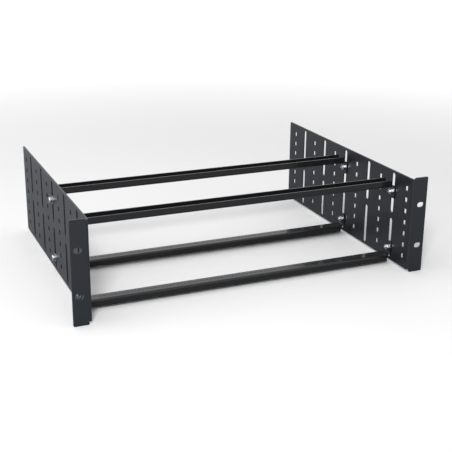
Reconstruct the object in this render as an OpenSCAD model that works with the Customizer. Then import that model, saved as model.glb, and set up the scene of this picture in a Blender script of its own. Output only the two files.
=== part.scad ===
// Open 3U card cage for a 19 inch rack: two folded side plates, four cross rails and the
// bolts that clamp the rails in the long slots of the side plates. Each rail is a channel
// with its flat web on the card side, so the upper rails open upward and the lower ones downward.

/* [Rack ears] */
// Overall width across both rack ears
rack_w = 482.6; // [482:0.1:484]
// Height of a rack ear
ear_h = 132.55; // [132.5:0.05:133]
// Distance between the ear slots across the rack
ear_slot_span_x = 465.1; // [464:0.1:466]
// Distance between the ear slots up the rack
ear_slot_span_z = 57.15; // [50:0.05:60]
// Length of an ear slot, across the rack
ear_slot_l = 10.3; // [9:0.1:11]
// Height of an ear slot
ear_slot_h = 7; // [6.4:0.1:7.4]
// Radius of the ear's corners
ear_corner_r = 1.5; // [0.5:0.5:3]

/* [Side plates] */
// Width over the outer faces of the side plates
body_w = 440; // [438:1:444]
// Depth from the front of the ears to the rear edges
depth = 356; // [236:1:480]
// Thickness of the side plates
sheet_t = 2; // [1.5:0.1:2.5]
// Inside radius of the fold between plate and ear
fold_r = 2; // [1:0.5:3]
// Height of a plate's lower edge
plate_z0 = 4; // [0.5:0.5:6]
// Height of a plate's upper edge
plate_z1 = 131; // [129.5:0.1:132.5]
// Radius of a plate's rear corners
plate_corner_r = 2; // [0.5:0.5:6]

/* [Side plate holes] */
// Distance from the front to the first column of square holes
first_column = 14.25; // [12:0.25:16]
// Distance from one column of square holes to the next
column_pitch = 64.5; // [62:0.5:68]
// Width of a long slot
long_slot_w = 8; // [6.5:0.5:9]
// Web left between a long slot and the plate's edge
long_slot_margin = 3; // [3:0.5:8]
// Web left between an upper and a lower long slot
long_slot_bridge = 8; // [6:0.5:14]
// Side of a square hole
square_w = 6.5; // [5:0.5:8]
// Distance between the square holes of a column
square_pitch = 15.875; // [14:0.125:17]
// Number of square holes in a column
square_count = 7; // [1:2:7]

/* [Cross rails] */
// Depth of a rail
rail_d = 18; // [16:0.5:20]
// Height of a rail
rail_h = 9.3; // [8:0.1:11]
// Thickness of the rail sheet
rail_t = 1.5; // [1.2:0.1:2]
// Inside radius of a rail's folds
rail_fold_r = 1; // [0.5:0.1:1.5]
// Height of the lower rails' lower edges
rail_low_z = 4.2; // [3:0.1:12]
// Height of the upper rails' upper edges
rail_high_z = 119.8; // [112:0.1:126]
// Column of long slots that holds the rear rails
rear_rail_column = 2; // [1:1:2]

/* [Card guide holes] */
// Distance between holes: one horizontal pitch of the card system
hole_pitch = 5.08; // [5.08:0.01:5.1]
// Number of holes along a rail
hole_count = 78; // [10:2:78]
// Diameter of a hole
hole_d = 2.4; // [1.6:0.1:3.2]

/* [Rail ends] */
// How far the channel's flanges stop short of a rail's end
end_relief = 7; // [6:0.5:10]
// End of a rail's tab, from the rail's outer edge
tab_z1 = 27; // [25:0.5:30]
// Bolt height, from the rail's outer edge
bolt_z = 17.4; // [16.5:0.1:18]

/* [Fasteners] */
// Radius of a bolt's shank
shank_r = 2; // [1.5:0.5:2]
// Length of a bolt's shank
shank_l = 11; // [11:1:16]
// Radius of a bolt's pan head
head_r = 4; // [3.5:0.25:4.5]
// Height of a bolt's pan head
head_h = 3.1; // [2.8:0.1:3.5]
// Radius of a flat washer
washer_r = 5.5; // [4.5:0.5:6]
// Thickness of a flat washer
washer_t = 1; // [0.8:0.1:1.2]
// Radius of a lock washer
lock_r = 3.7; // [3.4:0.1:4]
// Thickness of a lock washer
lock_t = 1; // [0.8:0.1:1.2]
// Width of a nut across its flats
nut_af = 7; // [6:1:7]
// Thickness of a nut
nut_t = 3.2; // [2.4:0.1:3.2]

/* [Hidden] */

$fn = 64;
plate_paint = [0.17, 0.18, 0.20];
rail_paint = [0.10, 0.10, 0.11];
zinc = [0.78, 0.79, 0.80];
eps = 0.5;

y_front = -depth / 2;
plate_inner_x = body_w / 2 - sheet_t;
plate_mid_z = (plate_z0 + plate_z1) / 2;
fold_outer = fold_r + sheet_t;
ear_mid_x = ear_slot_span_x / 2;
long_slot_h = (plate_z1 - plate_z0 - long_slot_bridge) / 2 - long_slot_margin;
long_slot_offset = (long_slot_bridge + long_slot_h) / 2;
// A further column of squares or slots is punched where it leaves a margin at the rear edge.
rear_margin = 12;
square_columns = floor((depth - rear_margin - first_column) / column_pitch) + 1;
slot_columns = floor((depth - rear_margin - first_column - column_pitch / 2) / column_pitch) + 1;
function square_y(i) = y_front + first_column + i * column_pitch;
function slot_y(i) = square_y(i) + column_pitch / 2;
front_rail_y = slot_y(0);
rear_rail_y = slot_y(rear_rail_column);
bend_x = plate_inner_x - rail_t - rail_fold_r;
channel_half = plate_inner_x - end_relief;
tab_corner_r = 3;
bolt_hole_r = shank_r + 0.25;
washer_hole_r = shank_r + 0.15;
lock_gap = 1;
thread_gap = 0.01;

// A flat obround, l long overall and w wide, centred, with its length along X.
module obround(l, w) {
    square([l - w, w], center = true);
    for (s = [-1, 1]) translate([s * (l - w) / 2, 0]) circle(r = w / 2);
}

// A rectangle with its lower left corner at the origin and round corners.
module rounded(w, h, r) {
    translate([r, 0]) square([w - 2 * r, h]);
    translate([0, r]) square([w, h - 2 * r]);
    for (x = [r, w - r]) for (y = [r, h - r]) translate([x, y]) circle(r = r);
}

// The quarter ring of a fold, in the quadrant where x and y are negative.
module fold(r_in, t) {
    difference() {
        intersection() {
            circle(r = r_in + t);
            translate([-r_in - t, -r_in - t]) square(r_in + t);
        }
        circle(r = r_in);
    }
}

// Stands a flat shape up in the Y-Z plane: its x runs along Y, its y along Z, and it is t thick in X.
module upright(x, t) {
    translate([x, 0, 0]) rotate([90, 0, 90]) linear_extrude(t) children();
}

// The flat panel of the right-hand side plate, from the fold to the rear edge.
module side_panel() {
    y0 = y_front + fold_outer;
    panel_d = depth - fold_outer;
    upright(plate_inner_x, sheet_t) {
        translate([y0, plate_z0]) rounded(panel_d, plate_z1 - plate_z0, plate_corner_r);
        translate([y0, plate_z0]) square([panel_d / 2, plate_z1 - plate_z0]);
    }
}

// The fold and the rack ear of the right-hand side plate.
module rack_ear() {
    ear_x0 = plate_inner_x + fold_outer;
    translate([ear_x0, y_front + fold_outer, plate_z0])
        linear_extrude(plate_z1 - plate_z0) fold(fold_r, sheet_t);
    translate([0, y_front + sheet_t, 0]) rotate([90, 0, 0]) linear_extrude(sheet_t) {
        translate([ear_x0, 0]) rounded(rack_w / 2 - ear_x0, ear_h, ear_corner_r);
        translate([ear_x0, plate_z0]) square([ear_corner_r, plate_z1 - plate_z0]);
    }
}

module ear_slots() {
    for (s = [-1, 1])
        translate([ear_mid_x, y_front + sheet_t + eps, ear_h / 2 + s * ear_slot_span_z / 2])
            rotate([90, 0, 0]) linear_extrude(sheet_t + 2 * eps) obround(ear_slot_l, ear_slot_h);
}

module long_slots() {
    for (i = [0 : slot_columns - 1]) for (s = [-1, 1])
        upright(plate_inner_x - eps, sheet_t + 2 * eps)
            translate([slot_y(i), plate_mid_z + s * long_slot_offset])
                rotate(90) obround(long_slot_h, long_slot_w);
}

module square_holes() {
    for (i = [0 : square_columns - 1]) for (k = [0 : square_count - 1])
        upright(plate_inner_x - eps, sheet_t + 2 * eps)
            translate([square_y(i), plate_mid_z + (k - (square_count - 1) / 2) * square_pitch])
                square(square_w, center = true);
}

// One folded sheet: the perforated panel and the ear that is bent outwards from it.
module side_plate() {
    color(plate_paint) difference() {
        union() {
            side_panel();
            rack_ear();
        }
        ear_slots();
        long_slots();
        square_holes();
    }
}

// A rail's channel profile, open below, in the Y-Z plane.
module rail_profile() {
    inner = rail_t + rail_fold_r;
    translate([inner, rail_h - rail_t]) square([rail_d - 2 * inner, rail_t]);
    for (y = [0, rail_d - rail_t]) translate([y, 0]) square([rail_t, rail_h - inner]);
    translate([inner, rail_h - inner]) mirror([0, 1]) fold(rail_fold_r, rail_t);
    translate([rail_d - inner, rail_h - inner]) rotate(180) fold(rail_fold_r, rail_t);
}

// The right-hand end of a rail: the web runs on, and is folded up into a tab on the side plate.
module rail_end() {
    inner = rail_t + rail_fold_r;
    tab_w = rail_d - 2 * inner;
    bend_z = rail_h + rail_fold_r;
    translate([channel_half, inner, rail_h - rail_t]) cube([bend_x - channel_half, tab_w, rail_t]);
    translate([bend_x, inner + tab_w, bend_z]) rotate([90, 0, 0])
        linear_extrude(tab_w) mirror([1, 0]) fold(rail_fold_r, rail_t);
    upright(plate_inner_x - rail_t, rail_t) translate([inner, bend_z]) {
        rounded(tab_w, tab_z1 - bend_z, tab_corner_r);
        square([tab_w, tab_corner_r]);
    }
}

// The bolt's clearance hole through the tab at the right-hand end.
module tab_hole() {
    translate([plate_inner_x - rail_t - eps, rail_d / 2, bolt_z])
        rotate([0, 90, 0]) cylinder(r = bolt_hole_r, h = rail_t + 2 * eps);
}

module guide_holes() {
    for (i = [0 : hole_count - 1])
        translate([(i - (hole_count - 1) / 2) * hole_pitch, rail_d / 2, rail_h - rail_t - eps])
            cylinder(d = hole_d, h = rail_t + 2 * eps, $fn = 16);
}

// A lower rail, with its flanges' lower edges at z = 0.
module rail() {
    color(rail_paint) difference() {
        union() {
            upright(-channel_half, 2 * channel_half) rail_profile();
            rail_end();
            mirror([1, 0, 0]) rail_end();
        }
        guide_holes();
        for (s = [0, 1]) mirror([s, 0, 0]) tab_hole();
    }
}

// Puts a rail, or what belongs to one, under the slot column at y: upper rails hang upside down.
module at_rail(y, upper) {
    translate([0, y - rail_d / 2, upper ? rail_high_z : rail_low_z])
        mirror([0, 0, upper ? 1 : 0]) children();
}

// Puts a fastener's axis on both ends of a rail, pointing outwards from the plate's inner face.
module at_rail_ends() {
    for (s = [0, 1]) mirror([s, 0, 0])
        translate([plate_inner_x, rail_d / 2, bolt_z]) rotate([0, 90, 0]) children();
}

// A pan-head bolt with a cross recess, its head outside the plate and its shank through to the nut.
module bolt() {
    head_z = sheet_t + washer_t + lock_t;
    dome_r = 1.5;
    recess_w = 1;
    recess_l = 4.4;
    recess_d = 1.8;
    chamfer = 0.5;
    difference() {
        rotate_extrude() {
            translate([0, head_z - shank_l + chamfer]) square([shank_r, shank_l - chamfer]);
            polygon([[0, head_z - shank_l], [shank_r - chamfer, head_z - shank_l],
                     [shank_r, head_z - shank_l + chamfer], [0, head_z - shank_l + chamfer]]);
            translate([0, head_z]) square([head_r, head_h - dome_r]);
            translate([0, head_z]) square([head_r - dome_r, head_h]);
            intersection() {
                translate([head_r - dome_r, head_z + head_h - dome_r]) circle(r = dome_r);
                translate([head_r - dome_r, head_z + head_h - dome_r]) square(dome_r);
            }
        }
        for (a = [0, 90]) rotate(a)
            translate([-recess_l / 2, -recess_w / 2, head_z + head_h - recess_d])
                cube([recess_l, recess_w, recess_d + eps]);
    }
}

module flat_washer() {
    translate([0, 0, sheet_t]) difference() {
        cylinder(r = washer_r, h = washer_t);
        translate([0, 0, -eps]) cylinder(r = washer_hole_r, h = washer_t + 2 * eps);
    }
}

// A split ring: the slit makes it springy.
module lock_washer() {
    translate([0, 0, sheet_t + washer_t]) difference() {
        cylinder(r = lock_r, h = lock_t);
        translate([0, 0, -eps]) cylinder(r = washer_hole_r, h = lock_t + 2 * eps);
        translate([0, -lock_gap / 2, -eps]) cube([lock_r + eps, lock_gap, lock_t + 2 * eps]);
    }
}

// A hexagon nut with bevelled corners, on the inner face of a rail's tab.
module nut() {
    corner_r = nut_af / 2 / cos(30);
    bevel = corner_r - nut_af / 2;
    translate([0, 0, -rail_t - nut_t]) difference() {
        intersection() {
            rotate(30) cylinder(r = corner_r, h = nut_t, $fn = 6);
            rotate_extrude() polygon([[0, 0], [nut_af / 2, 0], [corner_r, bevel],
                                      [corner_r, nut_t - bevel], [nut_af / 2, nut_t], [0, nut_t]]);
        }
        translate([0, 0, -eps]) cylinder(r = shank_r + thread_gap, h = nut_t + 2 * eps);
    }
}

module right_side_plate() { side_plate(); }
module left_side_plate() { mirror([1, 0, 0]) side_plate(); }

module front_top_rail() { at_rail(front_rail_y, true) rail(); }
module front_bottom_rail() { at_rail(front_rail_y, false) rail(); }
module rear_top_rail() { at_rail(rear_rail_y, true) rail(); }
module rear_bottom_rail() { at_rail(rear_rail_y, false) rail(); }

module bolts(y, upper) { color(zinc) at_rail(y, upper) at_rail_ends() bolt(); }
module washers(y, upper) { color(zinc) at_rail(y, upper) at_rail_ends() flat_washer(); }
module lock_washers(y, upper) { color(zinc) at_rail(y, upper) at_rail_ends() lock_washer(); }
module nuts(y, upper) { color(zinc) at_rail(y, upper) at_rail_ends() nut(); }

left_side_plate();
right_side_plate();
front_top_rail();
front_bottom_rail();
rear_top_rail();
rear_bottom_rail();
bolts(front_rail_y, true);  // front_top_bolts
bolts(front_rail_y, false);  // front_bottom_bolts
bolts(rear_rail_y, true);  // rear_top_bolts
bolts(rear_rail_y, false);  // rear_bottom_bolts
washers(front_rail_y, true);  // front_top_washers
washers(front_rail_y, false);  // front_bottom_washers
washers(rear_rail_y, true);  // rear_top_washers
washers(rear_rail_y, false);  // rear_bottom_washers
lock_washers(front_rail_y, true);  // front_top_lock_washers
lock_washers(front_rail_y, false);  // front_bottom_lock_washers
lock_washers(rear_rail_y, true);  // rear_top_lock_washers
lock_washers(rear_rail_y, false);  // rear_bottom_lock_washers
nuts(front_rail_y, true);  // front_top_nuts
nuts(front_rail_y, false);  // front_bottom_nuts
nuts(rear_rail_y, true);  // rear_top_nuts
nuts(rear_rail_y, false);  // rear_bottom_nuts
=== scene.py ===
"""Looks of the 3U card cage: paint and plating, screw threads, studio and camera.

All is in metres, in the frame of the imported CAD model: +X across the rack, +Y from the ears
towards the rear, +Z up. Colours are linear.
"""

import math

import bmesh
import bpy
from mathutils import Matrix, Vector


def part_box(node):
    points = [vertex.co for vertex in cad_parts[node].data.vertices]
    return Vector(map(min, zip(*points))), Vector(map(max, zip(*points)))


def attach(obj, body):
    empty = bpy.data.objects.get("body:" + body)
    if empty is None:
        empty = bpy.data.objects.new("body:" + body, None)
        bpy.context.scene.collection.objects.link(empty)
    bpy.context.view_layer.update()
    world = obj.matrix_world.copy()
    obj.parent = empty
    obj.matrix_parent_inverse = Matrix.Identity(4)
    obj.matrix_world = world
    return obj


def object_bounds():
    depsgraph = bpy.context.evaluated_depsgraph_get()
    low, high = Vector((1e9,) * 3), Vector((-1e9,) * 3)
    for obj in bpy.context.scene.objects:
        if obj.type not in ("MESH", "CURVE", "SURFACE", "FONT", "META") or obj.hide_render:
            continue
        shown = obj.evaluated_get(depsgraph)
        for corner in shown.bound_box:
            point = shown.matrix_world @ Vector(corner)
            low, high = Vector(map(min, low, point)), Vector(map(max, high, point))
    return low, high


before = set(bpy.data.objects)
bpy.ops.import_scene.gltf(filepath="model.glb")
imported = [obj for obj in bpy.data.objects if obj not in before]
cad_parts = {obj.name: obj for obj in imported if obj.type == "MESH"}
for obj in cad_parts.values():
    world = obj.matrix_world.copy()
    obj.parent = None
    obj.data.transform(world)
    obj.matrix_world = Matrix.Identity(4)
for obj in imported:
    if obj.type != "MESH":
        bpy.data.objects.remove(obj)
CAD_BOX = [list(corner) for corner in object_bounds()]
CAD_LOW, CAD_HIGH = (Vector(corner) for corner in CAD_BOX)
MM = 0.001
WHITE = (1.0, 1.0, 1.0)
BLACK = (0.0, 0.0, 0.0)

# Camera: a long lens from the front left, about 20 degrees above the cage.
CAMERA_PLACE = Vector((-0.4722, -1.1664, 0.4788))
CAMERA_YAW = math.radians(23.22)
CAMERA_PITCH = math.radians(-19.35)
CAMERA_ROLL = math.radians(0.544)
CAMERA_LENS = 74.8
SENSOR_WIDTH = 36.0

# Powder coat. Scales are in features per metre.
PLATE_COLOUR = (0.0095, 0.012, 0.0165)
RAIL_COLOUR = (0.007, 0.0073, 0.008)
DUST_COLOUR = (0.10, 0.10, 0.105)
BARE_STEEL = (0.42, 0.43, 0.45)
PLATE_ROUGHNESS = 0.36
RAIL_ROUGHNESS = 0.15
COAT_DARKER = 0.82  # darkest tone, as a share of the colour
COAT_LIGHTER = 1.25  # lightest tone, as a share of the colour
COAT_LEAST = 0.001  # added to the lightest tone
COAT_TONE_SCALE = 14
COAT_SPECK_SCALE = 900
COAT_PEEL_SCALE = 1500
COAT_SCUFF_SCALE = 60
COAT_CHIP_SCALE = 220
COAT_SPECKS = 0.06  # share of dust in the brightest specks
COAT_SMOOTHER = 0.04  # how far the roughness falls and rises from spot to spot
COAT_ROUGHER = 0.05
COAT_SCUFFS = 0.14  # what a scuff adds to the roughness
COAT_WEAR = 0.55  # share of bare steel on the most worn edges
COAT_EDGE_RADIUS = 0.35 * MM
COAT_BUMP = 0.20
COAT_PEEL_HEIGHT = 0.05 * MM
COAT_SHIFT = (0.37, 0.71, 0.13)  # the pattern's shift for each step of a seed

# Zinc plate, from the bolts to the duller spring steel.
BOLT_ZINC = (0.60, 0.61, 0.64)
WASHER_ZINC = (0.42, 0.43, 0.45)
SPRING_ZINC = (0.30, 0.31, 0.33)
NUT_ZINC = (0.72, 0.74, 0.77)
POLISHED_ZINC = (0.9, 0.9, 0.91)
BOLT_ROUGHNESS = 0.24
WASHER_ROUGHNESS = 0.38
SPRING_ROUGHNESS = 0.40
NUT_ROUGHNESS = 0.28
ZINC_RED_KEPT = 0.86  # share of red and green that the bluish passivation leaves
ZINC_GREEN_KEPT = 0.92
ZINC_SPOT_SCALE = 420
ZINC_MARK_SCALE = 3000
ZINC_SMOOTHER = 0.06
ZINC_ROUGHER = 0.10
ZINC_EDGE_SHINE = 0.5  # share of polished zinc on the edges
ZINC_EDGE_RADIUS = 0.2 * MM
ZINC_BUMP = 0.08
ZINC_MARK_HEIGHT = 0.03 * MM
ZINC_SHIFT = (0.23, 0.51, 0.19)

# Edges: how far a rounded normal leans from the true one where wear starts and where it is full.
EDGE_STARTS = 0.015
EDGE_FULL = 0.22
EDGE_SAMPLES = 6

# Screw threads that show past the nuts.
THREAD_PITCH = 0.7 * MM
THREAD_DEPTH = 0.18 * MM
THREAD_FOOT = 0.42  # half the ridge's width, as a share of the pitch
THREAD_SINK = 0.1  # how far its feet lie inside the shank, as a share of its height
THREAD_RISE = 6  # it rises and falls over one part in 6 of its length
THREAD_STEPS = 40  # for each turn
THREAD_LEAST_STEPS = 8
SHANK_CHAMFER = 0.5 * MM

# Studio. The floor is pale to the camera, and turns to plain white away from the cage.
FLOOR_HALF_WIDTH = 6
FLOOR_GAP = 0.02 * MM
FLOOR_PALE = (0.95, 0.95, 0.95)
FLOOR_PALEST = 1.03
FLOOR_TONE_SCALE = 3
# Its colour near the cage in the light and the reflections that the cage gets from it.
FLOOR_BOUNCE = (0.36, 0.375, 0.40)
FLOOR_ROUGHNESS = 0.7
FLOOR_NEAR = 0.45  # distances from the middle where it starts to turn white, and is white
FLOOR_FAR = 1.7
# Strength of the white surroundings as a light, and as seen, reflected or looked at through glass.
SKY_LIGHT = 0.50
SKY_SEEN = 1.0
# Each lamp's name, place, width, and power in watts.
LAMPS = (
    ("lamp_top", (-0.5, 0.3, 1.7), 1.4, 7),
    ("lamp_left", (-1.7, 0.2, 0.9), 1.1, 4),
    ("lamp_key", (-0.81, -1.5, 1.28), 0.35, 22),
)

# Node editor: the nodes stand in a row that ends below the shader.
NODE_STEP = 220
NODE_DROP = 300


def add(tree, kind, **settings):
    """Adds a shader node and sets its properties by name."""
    made = tree.nodes.new(kind)
    for name, value in settings.items():
        setattr(made, name, value)
    return made


def lay_out(tree):
    """Spreads a tree's own nodes in a row, in the order of their making."""
    made = [node for node in tree.nodes if node.location.length == 0]
    for i, node in enumerate(made):
        node.location = (NODE_STEP * (i - len(made)), -NODE_DROP)


def feed(tree, socket, value):
    """Links a socket to an output, or gives it a number or an RGB triple."""
    if hasattr(value, "links"):
        tree.links.new(value, socket)
    elif isinstance(value, tuple):
        socket.default_value = (*value, 1)
    else:
        socket.default_value = value


def ramp(tree, source, low, high):
    """Maps a factor between two positions to 0..1, smoothly."""
    made = add(tree, "ShaderNodeMapRange", interpolation_type="SMOOTHSTEP")
    feed(tree, made.inputs["From Min"], low)
    feed(tree, made.inputs["From Max"], high)
    feed(tree, made.inputs["Value"], source)
    return made.outputs["Result"]


def scaled(tree, source, low, high):
    """Maps 0..1 to a range of values."""
    made = add(tree, "ShaderNodeMapRange")
    feed(tree, made.inputs["To Min"], low)
    feed(tree, made.inputs["To Max"], high)
    feed(tree, made.inputs["Value"], source)
    return made.outputs["Result"]


def noise(tree, coordinate, scale, detail, roughness=0.55):
    """A noise in object space; scale is in features per metre."""
    made = add(tree, "ShaderNodeTexNoise")
    feed(tree, made.inputs["Scale"], scale)
    feed(tree, made.inputs["Detail"], detail)
    feed(tree, made.inputs["Roughness"], roughness)
    feed(tree, made.inputs["Vector"], coordinate)
    return made.outputs["Fac"]


def math_node(tree, operation, a, b):
    """One arithmetic step on two outputs or numbers."""
    made = add(tree, "ShaderNodeMath", operation=operation)
    feed(tree, made.inputs[0], a)
    feed(tree, made.inputs[1], b)
    return made.outputs["Value"]


def mix_colour(tree, factor, a, b):
    """Blends two colours, each an output or an RGB triple."""
    made = add(tree, "ShaderNodeMix", data_type="RGBA")
    feed(tree, made.inputs["Factor"], factor)
    feed(tree, made.inputs["A"], a)
    feed(tree, made.inputs["B"], b)
    return made.outputs["Result"]


def new_material(name):
    """A node material: returns it with its tree, its shader and the object coordinate."""
    material = bpy.data.materials.new(name)
    material.use_nodes = True
    tree = material.node_tree
    shader = tree.nodes["Principled BSDF"]
    coordinate = add(tree, "ShaderNodeTexCoord").outputs["Object"]
    return material, tree, shader, coordinate


def shifted(tree, coordinate, step, seed):
    """Moves a pattern by a seed, so that two pieces aren't marked alike."""
    made = add(tree, "ShaderNodeMapping")
    made.inputs["Location"].default_value = tuple(seed * part for part in step)
    feed(tree, made.inputs["Vector"], coordinate)
    return made.outputs["Vector"]


def edge_mask(tree, radius):
    """1 on sharp edges and 0 on flats, with the rounded normal that it comes from."""
    bevel = add(tree, "ShaderNodeBevel", samples=EDGE_SAMPLES)
    feed(tree, bevel.inputs["Radius"], radius)
    dot = add(tree, "ShaderNodeVectorMath", operation="DOT_PRODUCT")
    feed(tree, dot.inputs[0], bevel.outputs["Normal"])
    feed(tree, dot.inputs[1], add(tree, "ShaderNodeNewGeometry").outputs["Normal"])
    lean = math_node(tree, "SUBTRACT", 1.0, dot.outputs["Value"])
    return ramp(tree, lean, EDGE_STARTS, EDGE_FULL), bevel.outputs["Normal"]


def bump(tree, shader, height, normal, strength, distance):
    """Adds fine relief to the rounded normal and gives it to the shader."""
    made = add(tree, "ShaderNodeBump")
    feed(tree, made.inputs["Strength"], strength)
    feed(tree, made.inputs["Distance"], distance)
    feed(tree, made.inputs["Height"], height)
    feed(tree, made.inputs["Normal"], normal)
    feed(tree, shader.inputs["Normal"], made.outputs["Normal"])


def powder_coat(name, colour, roughness, seed):
    """Semi-gloss powder coat: fine orange peel, faint handling marks and thin, worn edges."""
    material, tree, shader, coordinate = new_material(name)
    at = shifted(tree, coordinate, COAT_SHIFT, seed)

    tone = noise(tree, at, COAT_TONE_SCALE, detail=3)
    speck = noise(tree, at, COAT_SPECK_SCALE, detail=2)
    peel = noise(tree, at, COAT_PEEL_SCALE, detail=1.5)
    handled = noise(tree, at, COAT_SCUFF_SCALE, detail=6, roughness=0.7)
    scuff = ramp(tree, handled, low=0.60, high=0.78)

    edges, rounded = edge_mask(tree, COAT_EDGE_RADIUS)
    chips = ramp(tree, noise(tree, at, COAT_CHIP_SCALE, detail=3), low=0.42, high=0.66)
    worn = math_node(tree, "MULTIPLY", math_node(tree, "MULTIPLY", edges, chips), COAT_WEAR)

    darker = tuple(part * COAT_DARKER for part in colour)
    lighter = tuple(part * COAT_LIGHTER + COAT_LEAST for part in colour)
    paint = mix_colour(tree, tone, darker, lighter)
    dusty = mix_colour(tree, math_node(tree, "MULTIPLY", speck, COAT_SPECKS), paint, DUST_COLOUR)
    feed(tree, shader.inputs["Base Color"], mix_colour(tree, worn, dusty, BARE_STEEL))

    smooth = scaled(tree, tone, roughness - COAT_SMOOTHER, roughness + COAT_ROUGHER)
    rough = math_node(tree, "ADD", smooth, math_node(tree, "MULTIPLY", scuff, COAT_SCUFFS))
    feed(tree, shader.inputs["Roughness"], rough)

    bump(tree, shader, peel, rounded, COAT_BUMP, COAT_PEEL_HEIGHT)
    lay_out(tree)
    return material


def zinc_plate(name, colour, roughness, seed):
    """Bright zinc plate: fine turned marks, a faint blue passivation and duller spots."""
    material, tree, shader, coordinate = new_material(name)
    at = shifted(tree, coordinate, ZINC_SHIFT, seed)
    spots = noise(tree, at, ZINC_SPOT_SCALE, detail=4)
    marks = noise(tree, at, ZINC_MARK_SCALE, detail=2)
    edges, rounded = edge_mask(tree, ZINC_EDGE_RADIUS)

    bluish = (colour[0] * ZINC_RED_KEPT, colour[1] * ZINC_GREEN_KEPT, colour[2])
    plated = mix_colour(tree, spots, bluish, colour)
    shine = math_node(tree, "MULTIPLY", edges, ZINC_EDGE_SHINE)
    feed(tree, shader.inputs["Base Color"], mix_colour(tree, shine, plated, POLISHED_ZINC))
    feed(tree, shader.inputs["Metallic"], 1.0)

    rough = scaled(tree, spots, roughness - ZINC_SMOOTHER, roughness + ZINC_ROUGHER)
    feed(tree, shader.inputs["Roughness"], rough)
    bump(tree, shader, marks, rounded, ZINC_BUMP, ZINC_MARK_HEIGHT)
    lay_out(tree)
    return material


def dress(node, material):
    """Gives a CAD node one material on every face."""
    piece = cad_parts[node]
    piece.data.materials.clear()
    piece.data.materials.append(material)


bolt_zinc = zinc_plate("bolt_zinc", BOLT_ZINC, BOLT_ROUGHNESS, 1)
# Each ending of a node's name with its material. The first that fits counts.
finishes = (
    ("left_side_plate", powder_coat("plate_coat_left", PLATE_COLOUR, PLATE_ROUGHNESS, 1)),
    ("right_side_plate", powder_coat("plate_coat_right", PLATE_COLOUR, PLATE_ROUGHNESS, 2)),
    ("_rail", powder_coat("rail_coat", RAIL_COLOUR, RAIL_ROUGHNESS, 3)),
    ("_bolts", bolt_zinc),
    ("_lock_washers", zinc_plate("spring_zinc", SPRING_ZINC, SPRING_ROUGHNESS, 3)),
    ("_washers", zinc_plate("washer_zinc", WASHER_ZINC, WASHER_ROUGHNESS, 2)),
    ("_nuts", zinc_plate("nut_zinc", NUT_ZINC, NUT_ROUGHNESS, 4)),
)
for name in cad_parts:
    dress(name, next(finish for ending, finish in finishes if name.endswith(ending)))


def thread(mesh, centre, x_nut, x_end, radius):
    """A helical ridge round a shank along X, from the nut's face to the shank's chamfer."""
    length = abs(x_end - x_nut)
    turns = length / THREAD_PITCH
    steps = max(THREAD_LEAST_STEPS, int(turns * THREAD_STEPS))
    side = 1 if x_end > x_nut else -1
    x_low, x_high = sorted((x_nut, x_end))
    foot = radius - THREAD_SINK * THREAD_DEPTH
    rings = []
    for i in range(steps + 1):
        t = i / steps
        angle = 2 * math.pi * turns * t
        x = x_nut + side * length * t
        crest = radius + THREAD_DEPTH * min(1.0, THREAD_RISE * t, THREAD_RISE * (1 - t))
        ring = []
        for along, r in ((-THREAD_FOOT, foot), (0.0, crest), (THREAD_FOOT, foot)):
            point = (
                min(max(x + side * along * THREAD_PITCH, x_low), x_high),
                centre.y + r * math.cos(angle),
                centre.z + r * math.sin(angle),
            )
            ring.append(mesh.verts.new(point))
        rings.append(ring)
    for a, b in zip(rings, rings[1:]):
        for k in range(2):
            mesh.faces.new((a[k], a[k + 1], b[k + 1], b[k]))


def link_piece(name, mesh, material):
    """Turns a bmesh into a piece that rides with the cage."""
    data = bpy.data.meshes.new(name)
    bmesh.ops.recalc_face_normals(mesh, faces=mesh.faces)
    mesh.to_mesh(data)
    mesh.free()
    data.materials.append(material)
    piece = bpy.data.objects.new(name, data)
    bpy.context.scene.collection.objects.link(piece)
    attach(piece, "root")


for place in ("front_top", "front_bottom", "rear_top", "rear_bottom"):
    bolts_low, bolts_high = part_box(f"{place}_bolts")
    centre = (bolts_low + bolts_high) / 2
    bolt_points = [v.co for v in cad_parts[f"{place}_bolts"].data.vertices]
    nut_points = [v.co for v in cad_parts[f"{place}_nuts"].data.vertices]
    shank_end = min(abs(co.x) for co in bolt_points)
    nut_face = min(abs(co.x) for co in nut_points)
    # The points up to 1 mm past the nuts' inner faces are on the shank.
    shank = [co for co in bolt_points if abs(co.x) < nut_face + MM]
    shank_radius = max(math.hypot(co.y - centre.y, co.z - centre.z) for co in shank)
    thread_end = shank_end + SHANK_CHAMFER
    ridges = bmesh.new()
    for side in (-1, 1):
        thread(ridges, centre, side * nut_face, side * thread_end, shank_radius)
    link_piece(f"{place}_threads", ridges, bolt_zinc)


def background_rays(tree):
    """Light Path's outputs, and 1 for a camera, transmission or glossy ray, else 0."""
    rays = add(tree, "ShaderNodeLightPath").outputs
    direct = math_node(tree, "MAXIMUM", rays["Is Camera Ray"], rays["Is Transmission Ray"])
    return rays, math_node(tree, "MAXIMUM", direct, rays["Is Glossy Ray"])


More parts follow.
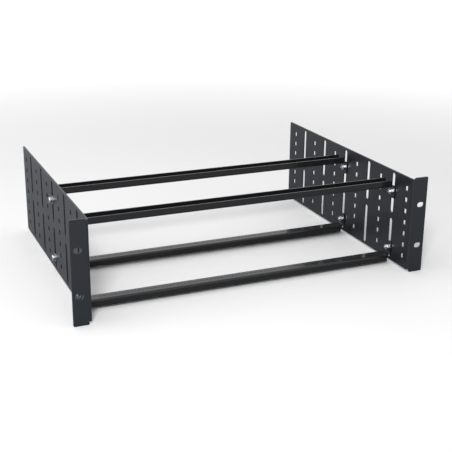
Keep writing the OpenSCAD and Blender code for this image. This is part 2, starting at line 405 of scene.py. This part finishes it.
def pale_floor():
    """A floor that keeps the cage's shadow near it, and is plain white far from it."""
    mesh = bmesh.new()
    bmesh.ops.create_grid(mesh, x_segments=1, y_segments=1, size=FLOOR_HALF_WIDTH)
    data = bpy.data.meshes.new("floor")
    mesh.to_mesh(data)
    mesh.free()
    floor = bpy.data.objects.new("floor", data)
    floor.location = (0, 0, CAD_LOW.z - FLOOR_GAP)
    bpy.context.scene.collection.objects.link(floor)

    material, tree, shader, coordinate = new_material("studio_floor")
    palest = tuple(part * FLOOR_PALEST for part in FLOOR_PALE)
    tone = noise(tree, coordinate, FLOOR_TONE_SCALE, detail=2)
    pale = mix_colour(tree, tone, FLOOR_PALE, palest)
    rays, direct = background_rays(tree)
    distance = add(tree, "ShaderNodeVectorMath", operation="LENGTH")
    feed(tree, distance.inputs[0], coordinate)
    far = ramp(tree, distance.outputs["Value"], FLOOR_NEAR, FLOOR_FAR)
    glow = math_node(tree, "MULTIPLY", far, direct)
    lit = mix_colour(tree, rays["Is Camera Ray"], FLOOR_BOUNCE, pale)
    feed(tree, shader.inputs["Base Color"], mix_colour(tree, glow, lit, BLACK))
    feed(tree, shader.inputs["Emission Color"], WHITE)
    feed(tree, shader.inputs["Emission Strength"], glow)
    feed(tree, shader.inputs["Roughness"], FLOOR_ROUGHNESS)
    lay_out(tree)
    data.materials.append(material)


def surroundings():
    """White all round, with less strength in the light that it sends to the cage."""
    world = bpy.data.worlds.new("studio")
    bpy.context.scene.world = world
    world.use_nodes = True
    tree = world.node_tree
    background = tree.nodes["Background"]
    direct = background_rays(tree)[1]
    feed(tree, background.inputs["Color"], WHITE)
    feed(tree, background.inputs["Strength"], scaled(tree, direct, SKY_LIGHT, SKY_SEEN))
    lay_out(tree)


def lamp(name, position, target, width, power):
    """A square soft lamp that points at a target."""
    data = bpy.data.lights.new(name, "AREA")
    data.size = width
    data.energy = power
    made = bpy.data.objects.new(name, data)
    made.location = position
    made.rotation_mode = "QUATERNION"
    made.rotation_quaternion = (target - Vector(position)).to_track_quat("-Z", "Y")
    bpy.context.scene.collection.objects.link(made)


def camera():
    """The camera, from its place and its yaw, pitch and roll."""
    forward = Vector(
        (
            math.sin(CAMERA_YAW) * math.cos(CAMERA_PITCH),
            math.cos(CAMERA_YAW) * math.cos(CAMERA_PITCH),
            math.sin(CAMERA_PITCH),
        )
    )
    right = Vector((math.cos(CAMERA_YAW), -math.sin(CAMERA_YAW), 0))
    up = right.cross(forward)
    rolled_right = right * math.cos(CAMERA_ROLL) + up * math.sin(CAMERA_ROLL)
    rolled_up = up * math.cos(CAMERA_ROLL) - right * math.sin(CAMERA_ROLL)
    data = bpy.data.cameras.new("camera")
    data.lens = CAMERA_LENS
    data.sensor_width = SENSOR_WIDTH
    made = bpy.data.objects.new("camera", data)
    turn = Matrix((rolled_right, rolled_up, -forward)).transposed()
    made.matrix_world = Matrix.Translation(CAMERA_PLACE) @ turn.to_4x4()
    bpy.context.scene.collection.objects.link(made)
    bpy.context.scene.camera = made


pale_floor()
surroundings()
for lamp_name, position, width, power in LAMPS:
    lamp(lamp_name, position, (CAD_LOW + CAD_HIGH) / 2, width, power)
camera()
bpy.context.scene.view_settings.view_transform = "Standard"
